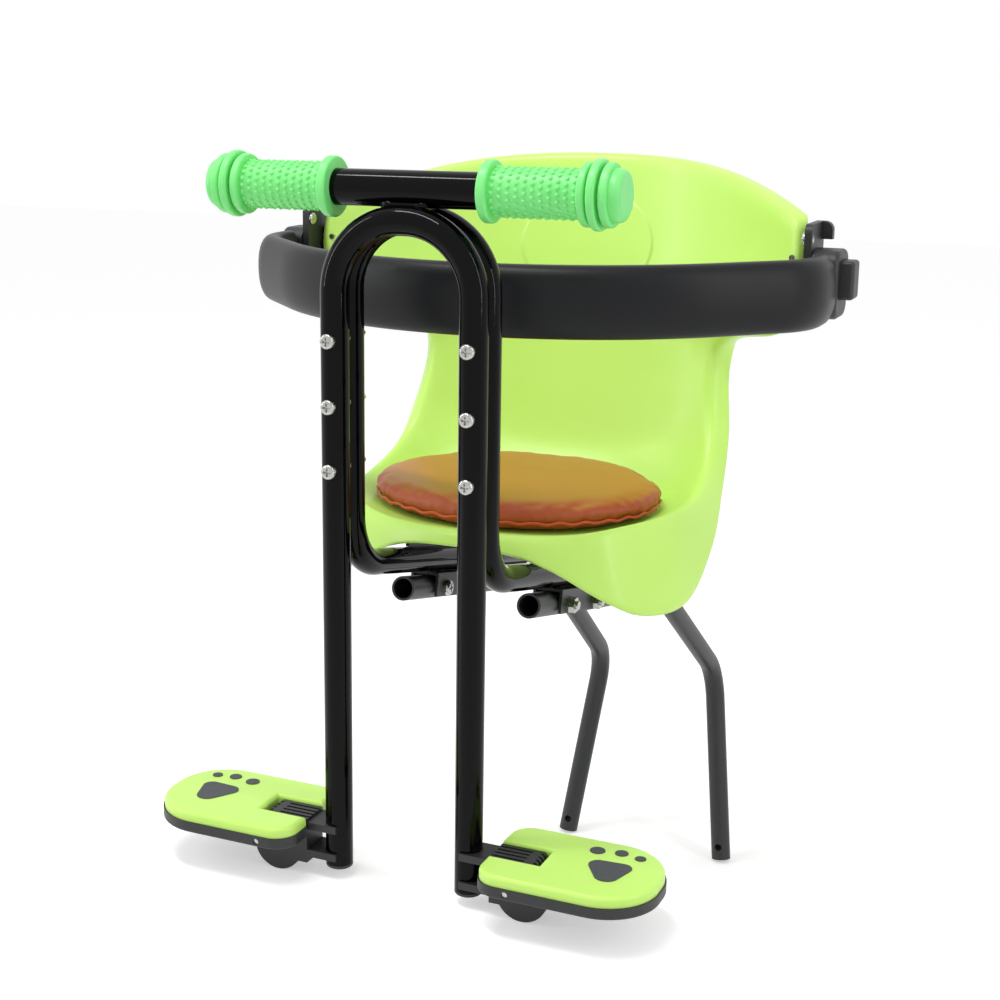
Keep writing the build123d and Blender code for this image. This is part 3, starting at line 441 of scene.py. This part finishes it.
# %% Roll the fold
beside = [set() for _ in verts]
for face in faces:
    for k, corner in enumerate(face):
        beside[corner].update((face[k - 1], face[(k + 1) % 4]))
pull = [0.5 * math.exp(-(d / SEAT_ROLL) ** 2) for d in near]
rolling = [i for i, p in enumerate(pull) if p > 0.01]
for _ in range(SEAT_PASSES):
    moved = [verts[i].lerp(sum((verts[j] for j in beside[i]), Vector()) / len(beside[i]), pull[i]) for i in rolling]
    for i, point in zip(rolling, moved):
        verts[i] = point
seat = mesh_piece("seat_bucket", [at(*p) for p in verts], faces, lime, "frame", "lime_plastic")
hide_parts("seat_shell")
wall = seat.modifiers.new("wall", "SOLIDIFY")
wall.thickness = SEAT_WALL * MM
wall.offset = -1
wall.use_even_offset = True
soft_rim = seat.modifiers.new("soft_rim", "SUBSURF")
soft_rim.levels = 1
soft_rim.render_levels = 1
print("seat faces", len(faces))

# %% [markdown]
# ## Guard rail sleeve
# The sleeve is a foam band pushed over a strap. A foam band has no hard corners: it is flat towards the child and
# crowned on its outer face. It is swept as rings of points along the rail's plan, straights joined by four arcs.

# %% Plan of the rail
RAIL_HALF, RAIL_BACK, RAIL_Z = 201.05, 223.8, 367.0
RAIL_CORNERS = [((RAIL_HALF, 187.0), 50.0), ((90.0, 76.0), 212.0), ((-90.0, 76.0), 212.0),
                ((-RAIL_HALF, 187.0), 50.0)]
RAIL_STEP = 4.0


def rounded_plan(start, corners, end, step):
    """Points at even steps along straights joined by arcs, each with its direction."""
    stops = [Vector(start), *[Vector(c) for c, _ in corners], Vector(end)]
    points = []
    here = stops[0]
    for i, (corner, radius) in enumerate(corners, start=1):
        into = (stops[i] - stops[i - 1]).normalized()
        out = (stops[i + 1] - stops[i]).normalized()
        turn = into.angle_signed(out)
        reach = radius * math.tan(abs(turn) / 2)
        arc_start = stops[i] - into * reach
        count = max(1, round((arc_start - here).length / step))
        points += [(here.lerp(arc_start, k / count), into) for k in range(count)]
        side = Vector((-into.y, into.x)) * (-1 if turn > 0 else 1)
        centre = arc_start + side * radius
        count = max(2, round(abs(turn) * radius / step))
        for k in range(count):
            spin = Matrix.Rotation(-turn * k / count, 2)
            points.append((centre + spin @ (arc_start - centre), spin @ into))
        here = stops[i] + out * reach
    count = max(1, round((stops[-1] - here).length / step))
    return points + [(here.lerp(stops[-1], k / count), (stops[-1] - here).normalized()) for k in range(count + 1)]


rail_plan = rounded_plan((RAIL_HALF, RAIL_BACK), RAIL_CORNERS, (-RAIL_HALF, RAIL_BACK), RAIL_STEP)
print("rail plan", len(rail_plan), "points")

# %% Sweep the sleeve
RAIL_HIGH, RAIL_THICK = 47.0, 16.0
RAIL_SIDES = 40
SLEEVE_POWER, SLEEVE_FACE_POWER, SLEEVE_CROWN = 3.4, 2.3, 2.5
SLEEVE_EDGE, SLEEVE_EDGE_SHARE = 5.0, 0.6
RIPPLE_HIGH, RIPPLE_LONG = 0.25, 35


def sleeve_ring(point, way, squeeze):
    """One ring of the sleeve: flat towards the child, crowned on its outer face."""
    inward = Vector((way.y, -way.x))
    ring = []
    for k in range(RAIL_SIDES):
        angle = 2 * math.pi * k / RAIL_SIDES
        c, s = math.cos(angle), math.sin(angle)
        power = SLEEVE_POWER if c > 0 else SLEEVE_FACE_POWER
        crown = 0.0 if c > 0 else SLEEVE_CROWN
        wide = math.copysign(abs(c) ** (2 / power), c) * (RAIL_THICK / 2 + crown - squeeze)
        high = math.copysign(abs(s) ** (2 / power), s) * (RAIL_HIGH / 2 - squeeze)
        flat = point + inward * wide
        ripple = RIPPLE_HIGH * noise.noise(Vector((flat.x, flat.y, high)) / RIPPLE_LONG)
        ring.append(at(flat.x + inward.x * ripple, flat.y + inward.y * ripple, RAIL_Z + high))
    return ring


verts, faces = [], []
last_ring = len(rail_plan) - 1
for i, (point, way) in enumerate(rail_plan):
    from_end = min(i, last_ring - i) * RAIL_STEP
    squeeze = SLEEVE_EDGE - math.sqrt(max(0.0, SLEEVE_EDGE ** 2 - max(0.0, SLEEVE_EDGE - from_end) ** 2))
    verts += sleeve_ring(point, way, squeeze * SLEEVE_EDGE_SHARE)
for i in range(last_ring):
    for k in range(RAIL_SIDES):
        n = (k + 1) % RAIL_SIDES
        faces.append((i * RAIL_SIDES + k, i * RAIL_SIDES + n, (i + 1) * RAIL_SIDES + n, (i + 1) * RAIL_SIDES + k))
faces.append(tuple(range(RAIL_SIDES)))
faces.append(tuple(reversed(range(last_ring * RAIL_SIDES, (last_ring + 1) * RAIL_SIDES))))
sleeve = mesh_piece("guard_rail_sleeve", verts, faces, foam, "rail", "black_foam")
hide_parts("guard_rail")
print("sleeve", len(faces), "faces")

# %% [markdown]
# ## Cushion
# A round pad of foam in two discs of leather cloth, sewn together round the edge. Sewn flat and then filled, the cover
# has too much cloth at its rim, so the seam puckers. That is what cloth with pressure does: the mesh starts as a
# flat drum, is blown up a little, and settles with its own folds.

# %% Flat drum for the cushion
PAD_Y, PAD_FOOT_Z, PAD_RIM_Z, PAD_TOP_Z = 189.0, 207.2, 217.5, 227.0
PAD_R, PAD_FOOT_R, PAD_DEPTH = 104.0, 66.0, 0.83
PAD_AROUND = 144


def drum():
    """Closed drum: a foot in the hollow of the seat, a rim and a slightly domed top."""
    rows = [(PAD_FOOT_R, PAD_FOOT_Z), (90.0, 210.0), (PAD_R - 2, 212.5), (PAD_R, 215.5), (PAD_R, 221.0),
            (PAD_R - 3.5, 224.6), (88.0, 226.0), (60.0, PAD_TOP_Z - 0.4), (30.0, PAD_TOP_Z)]
    points = []
    for r, z in rows:
        for k in range(PAD_AROUND):
            angle = 2 * math.pi * k / PAD_AROUND
            points.append(at(r * math.cos(angle), PAD_Y + PAD_DEPTH * r * math.sin(angle), z))
    skin = []
    for i in range(len(rows) - 1):
        for k in range(PAD_AROUND):
            n = (k + 1) % PAD_AROUND
            skin.append((i * PAD_AROUND + k, i * PAD_AROUND + n, (i + 1) * PAD_AROUND + n, (i + 1) * PAD_AROUND + k))
    skin.append(tuple(reversed(range(PAD_AROUND))))
    skin.append(tuple(range((len(rows) - 1) * PAD_AROUND, len(rows) * PAD_AROUND)))
    return points, skin


cushion = mesh_piece("cushion", *drum(), leather, "frame", "brown_leather")
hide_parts("seat_cushion")
remesh = cushion.modifiers.new("even_skin", "REMESH")
remesh.mode = "VOXEL"
remesh.voxel_size = 0.004
remesh.use_smooth_shade = True


def bake(obj):
    """Turns what the modifiers make into the object's own mesh."""
    made = bpy.data.meshes.new_from_object(obj.evaluated_get(bpy.context.evaluated_depsgraph_get()))
    obj.modifiers.clear()
    obj.data = made


bake(cushion)
rest = [v.co.copy() for v in cushion.data.vertices]
print("cushion before filling", len(rest), "points")

# %% Fill it with air
PAD_SWELL = 0.0022
FILL_FRAMES = 20
cloth = cushion.modifiers.new("filling", "CLOTH")
cloth.settings.use_pressure = True
cloth.settings.uniform_pressure_force = 3.0
cloth.settings.tension_stiffness = 25
cloth.settings.bending_stiffness = 1.5
cloth.settings.effector_weights.gravity = 0
cloth.settings.shrink_min = -0.02
for step in range(1, FILL_FRAMES + 1):
    scene.frame_set(step)
bake(cushion)
scene.frame_set(1)
for v, start in zip(cushion.data.vertices, rest):
    move = v.co - start
    if move.length > PAD_SWELL:
        v.co = start + move.normalized() * PAD_SWELL
print("cushion filled", len(cushion.data.vertices))

# %% [markdown]
# The rim's puckers are gathered by the stitches, about ten millimetres apart. They fade out towards the crown, and the
# foot stays flat, because it rests on the seat.

# %% Gather the rim
PUCKER_PITCH, PUCKER_DEEP = 9.5, 1.5
random.seed(7)
pucker_count = round(2 * math.pi * PAD_R / PUCKER_PITCH)
pucker_depth = [random.uniform(0.45, 1.0) for _ in range(pucker_count)]
centre = at(0, PAD_Y, PAD_RIM_Z)


def pucker(angle):
    """Depth of the gather at this place round the rim, from 0 to 1."""
    turn = angle % (2 * math.pi) / (2 * math.pi) * pucker_count + 0.3 * math.sin(5 * angle)
    return pucker_depth[int(turn) % pucker_count] * (0.5 - 0.5 * math.cos(2 * math.pi * turn)) ** 2


for v in cushion.data.vertices:
    flat = Vector((v.co.x - centre.x, (v.co.y - centre.y) / PAD_DEPTH))
    r = flat.length / MM
    fold = pucker(math.atan2(flat.y, flat.x))
    side = math.exp(-((r - PAD_R) / 5) ** 2) * math.exp(-((v.co.z - centre.z) / MM / 6) ** 2)
    top = math.exp(-((r - PAD_R + 6) / 6) ** 2) * (1 if v.co.z > centre.z else 0)
    v.co -= flat.normalized().to_3d() * MM * PUCKER_DEEP * side * fold
    v.co.z -= MM * 0.5 * PUCKER_DEEP * top * fold
subdivide = cushion.modifiers.new("fine_skin", "SUBSURF")
subdivide.levels = 1
subdivide.render_levels = 1
cushion.data.shade_smooth()
cushion.data.materials.clear()
cushion.data.materials.append(leather)
print("puckers", pucker_count)

# %% [markdown]
# Under the puckers the cut edges of both discs show as a thin red hem that wanders with the stitches.

# %% Hem round the rim
hem_leather = leather.copy()
hem_leather.name = "red_hem_leather"
hem_mix = next(n for n in hem_leather.node_tree.nodes if n.type == "MIX" and not n.inputs["A"].is_linked)
hem_mix.inputs["A"].default_value = linear("#B83A20")
hem_mix.inputs["B"].default_value = linear("#D2542E")
HEM_AROUND, HEM_SIDES, HEM_R = 480, 8, 1.1
HEM_Z, HEM_BAND, HEM_PROUD, HEM_WAVE = 214.0, 3.0, 0.2, 0.9
RIM_BINS = 60
rim = [0.0] * RIM_BINS
for v in cushion.data.vertices:
    flat = Vector((v.co.x - centre.x, (v.co.y - centre.y) / PAD_DEPTH))
    if abs(v.co.z - at(0, 0, HEM_Z).z) < HEM_BAND * MM:
        k = int(math.atan2(flat.y, flat.x) % (2 * math.pi) / (2 * math.pi) * RIM_BINS) % RIM_BINS
        rim[k] = max(rim[k], flat.length / MM)
verts, faces = [], []
for k in range(HEM_AROUND):
    angle = 2 * math.pi * k / HEM_AROUND
    spot = k / HEM_AROUND * RIM_BINS - 0.5
    low, part = math.floor(spot), spot - math.floor(spot)
    r = rim[low % RIM_BINS] * (1 - part) + rim[(low + 1) % RIM_BINS] * part + HEM_PROUD
    deep = pucker_depth[k * pucker_count // HEM_AROUND % pucker_count]
    wave = HEM_WAVE * math.sin(angle * pucker_count * 0.5) * deep
    for s in range(HEM_SIDES):
        turn = 2 * math.pi * s / HEM_SIDES
        ring_r = r + HEM_R * math.cos(turn)
        verts.append(at(ring_r * math.cos(angle), PAD_Y + PAD_DEPTH * ring_r * math.sin(angle),
                        HEM_Z + wave + HEM_R * math.sin(turn)))
for k in range(HEM_AROUND):
    for s in range(HEM_SIDES):
        n, m = (k + 1) % HEM_AROUND, (s + 1) % HEM_SIDES
        faces.append((k * HEM_SIDES + s, n * HEM_SIDES + s, n * HEM_SIDES + m, k * HEM_SIDES + m))
mesh_piece("cushion_hem", verts, faces, hem_leather, "frame", "brown_leather")
print("hem", len(faces), "faces")

# %% [markdown]
# ## Knobs on the grips
# Rings of small round knobs stand out of the soft grips, every second ring turned by half a step. They are drawn into
# one mesh per grip: a shallow dome for each knob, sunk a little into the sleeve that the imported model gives.

# %% Domes round each grip
BAR_Y, BAR_Z, GRIP_R = 10.0, 440.0, 14.0
KNOB_FROM, KNOB_TO, KNOB_PITCH = 57.5, 108.0, 5.05
KNOB_AROUND, KNOB_R, KNOB_HIGH, KNOB_SUNK = 22, 1.55, 1.3, 0.4
DOME_AROUND, DOME_RINGS = 8, 3


def dome(axis_x, angle):
    """Points and faces of one knob, drawn round the bar's axis."""
    points, skin = [], []
    for ring in range(DOME_RINGS):
        lift = ring / DOME_RINGS
        r = KNOB_R * math.cos(lift * math.pi / 2)
        h = GRIP_R - KNOB_SUNK + (KNOB_HIGH + KNOB_SUNK) * math.sin(lift * math.pi / 2)
        for k in range(DOME_AROUND):
            spin = 2 * math.pi * k / DOME_AROUND
            along, over = r * math.cos(spin), angle + r * math.sin(spin) / GRIP_R
            points.append(at(axis_x + along, BAR_Y + h * math.cos(over), BAR_Z + h * math.sin(over)))
    peak = GRIP_R + KNOB_HIGH
    points.append(at(axis_x, BAR_Y + peak * math.cos(angle), BAR_Z + peak * math.sin(angle)))
    top = len(points) - 1
    for ring in range(DOME_RINGS - 1):
        for k in range(DOME_AROUND):
            n = (k + 1) % DOME_AROUND
            a, b = ring * DOME_AROUND, (ring + 1) * DOME_AROUND
            skin.append((a + k, a + n, b + n, b + k))
    a = (DOME_RINGS - 1) * DOME_AROUND
    skin += [(a + k, a + (k + 1) % DOME_AROUND, top) for k in range(DOME_AROUND)]
    return points, skin


for side, name in ((-1, "left"), (1, "right")):
    verts, faces = [], []
    rows = round((KNOB_TO - KNOB_FROM) / KNOB_PITCH)
    for row in range(rows + 1):
        for k in range(KNOB_AROUND):
            points, skin = dome(side * (KNOB_FROM + row * KNOB_PITCH), 2 * math.pi * (k + row % 2 / 2) / KNOB_AROUND)
            faces += [tuple(i + len(verts) for i in f) for f in skin]
            verts += points
    mesh_piece(f"{name}_grip_knobs", verts, faces, soft_pvc, "frame", "green_grip")
    print(name, "grip knobs", (rows + 1) * KNOB_AROUND)

# %% [markdown]
# ## Weld beads
# The bar is welded into the valley between the two arches, and the beads show as small lumps under the paint.

# %% Beads by the saddle
BEAD_R, BEAD_X, BEAD_Y, BEAD_Z = 3.4, 11.0, 8.8, 430.6
BEAD_SHAPE = (1.3, 0.7, 0.8)
verts, faces = [], []
for x in (-BEAD_X, BEAD_X):
    for y in (BAR_Y - BEAD_Y, BAR_Y + BEAD_Y):
        ball = bmesh.new()
        bmesh.ops.create_icosphere(ball, subdivisions=3, radius=1)
        start = len(verts)
        for v in ball.verts:
            lump = BEAD_R * (1 + 0.25 * noise.noise(v.co * 1.7 + Vector((x, y, 0))))
            verts.append(at(*[c + s * f * lump for c, s, f in zip((x, y, BEAD_Z), v.co, BEAD_SHAPE)]))
        faces += [tuple(start + v.index for v in f.verts) for f in ball.faces]
        ball.free()
mesh_piece("weld_beads", verts, faces, gloss_coat, "frame", "gloss_black_tube")
print("weld beads", len(faces), "faces")

# %% [markdown]
# ## Studio
# The picture was taken on white: a pale floor for the rear legs and a white block under the front tubes, because the
# front is meant to hang on the bicycle. Both are part of the stage, not of the seat.

# %% Floor and block
paper, tree, shader, place = start_material("white_studio_paper", Base_Color=linear("#EDEDED"), Roughness=0.9)
tooth = node(tree, "ShaderNodeTexNoise", {"Vector": place, "Scale": per_mm(2.0), "Detail": 2.0})
bump = node(tree, "ShaderNodeBump", {"Height": tooth.outputs["Fac"], "Strength": 0.03, "Distance": 0.0003})
tree.links.new(bump.outputs["Normal"], shader.inputs["Normal"])
PAPER_GLOW = 0.42


def looked_at(tree):
    """1 for a ray that looks at the backdrop, straight, in a reflection or through glass, and 0 for one that lights."""
    path = node(tree, "ShaderNodeLightPath")
    seen = node(tree, "ShaderNodeMath", {0: path.outputs["Is Camera Ray"], 1: path.outputs["Is Glossy Ray"]},
                operation="MAXIMUM")
    return node(tree, "ShaderNodeMath", {0: seen.outputs[0], 1: path.outputs["Is Transmission Ray"]},
                operation="MAXIMUM").outputs[0]


lift = node(tree, "ShaderNodeMath", {0: looked_at(tree), 1: PAPER_GLOW}, operation="MULTIPLY")
shader.inputs["Emission Color"].default_value = (1, 1, 1, 1)
tree.links.new(lift.outputs[0], shader.inputs["Emission Strength"])
FLOOR_Z = cad_box[0][2] - 0.0004
BLOCK_TOP = at(0, 0, -9.4).z


def stage_piece(name, low, high):
    """Box of white paper, or a sheet where both heights are the same."""
    corners = [(x, y, z) for z in (low[2], high[2]) for x, y in
               ((low[0], low[1]), (high[0], low[1]), (high[0], high[1]), (low[0], high[1]))]
    skin = [(4, 5, 6, 7), (0, 1, 5, 4), (1, 2, 6, 5), (2, 3, 7, 6), (3, 0, 4, 7)]
    if low[2] == high[2]:
        skin = [(0, 1, 2, 3)]
    mesh = bpy.data.meshes.new(name)
    mesh.from_pydata(corners, [], skin)
    obj = bpy.data.objects.new(name, mesh)
    scene.collection.objects.link(obj)
    obj.data.materials.append(paper)


stage_piece("floor", (-6, -6, FLOOR_Z), (6, 6, FLOOR_Z))
stage_piece("block", (-0.24, -0.64, FLOOR_Z), (0.24, -0.42, BLOCK_TOP))
print("floor at", round(FLOOR_Z, 4), "block top at", round(BLOCK_TOP, 4))

# %% [markdown]
# The light is a soft tent: a bright even sky that the camera sees as pure white, and three lamps. A narrow panel hangs
# overhead, and two thin strips stand at the sides to draw the clean highlights along the black tubes.

# %% Sky and lamps
SKY_STRENGTH = 0.62
scene.view_settings.view_transform = "Standard"
world = bpy.data.worlds.new("studio_tent")
scene.world = world
world.use_nodes = True
tree = world.node_tree
sky = tree.nodes["Background"]
sky.inputs["Color"].default_value = (1, 1, 1, 1)
sky.inputs["Strength"].default_value = SKY_STRENGTH
white = node(tree, "ShaderNodeBackground", {"Color": (1, 1, 1, 1), "Strength": 1.0})
mixed = node(tree, "ShaderNodeMixShader", {0: looked_at(tree), 1: sky.outputs[0], 2: white.outputs[0]})
tree.links.new(mixed.outputs[0], tree.nodes["World Output"].inputs["Surface"])


def panel(name, place, aim, size, power):
    """Area lamp at a place, turned to a point."""
    lamp = bpy.data.lights.new(name, "AREA")
    lamp.shape = "RECTANGLE"
    lamp.size, lamp.size_y = size
    lamp.energy = power
    obj = bpy.data.objects.new(name, lamp)
    scene.collection.objects.link(obj)
    obj.location = place
    obj.rotation_euler = (Vector(aim) - Vector(place)).to_track_quat("-Z", "Y").to_euler()


middle = at(0, 170, 260)
panel("top_panel", middle + Vector((-0.3, -0.6, 1.7)), middle, (1.2, 0.14), 16)
panel("left_strip", middle + Vector((-1.6, -0.9, 0.7)), middle, (0.03, 1.6), 9)
panel("right_strip", middle + Vector((1.7, -0.4, 0.6)), middle, (0.03, 1.6), 7)

# %% [markdown]
# ## Camera
# The view is from the front, a quarter to the child's left and a little above, with the lens shifted sideways as in
# the picture.

# %% Camera at the picture's angle
camera_data = bpy.data.cameras.new("camera")
camera_data.sensor_width = 36.0
camera_data.lens = 62.61
camera_data.shift_x = 0.1
camera_data.clip_start = 0.01
camera = bpy.data.objects.new("camera", camera_data)
scene.collection.objects.link(camera)
right = Vector((0.9014, 0.4330, 0.0)).normalized()
back = Vector((0.4201, -0.8746, 0.2419)).normalized()
up = back.cross(right)
camera.matrix_world = Matrix.Translation(at(448.7, -938.5, 510.7)) @ Matrix((right, up, back)).transposed().to_4x4()
scene.camera = camera
print("camera", [round(c, 3) for c in camera.location])
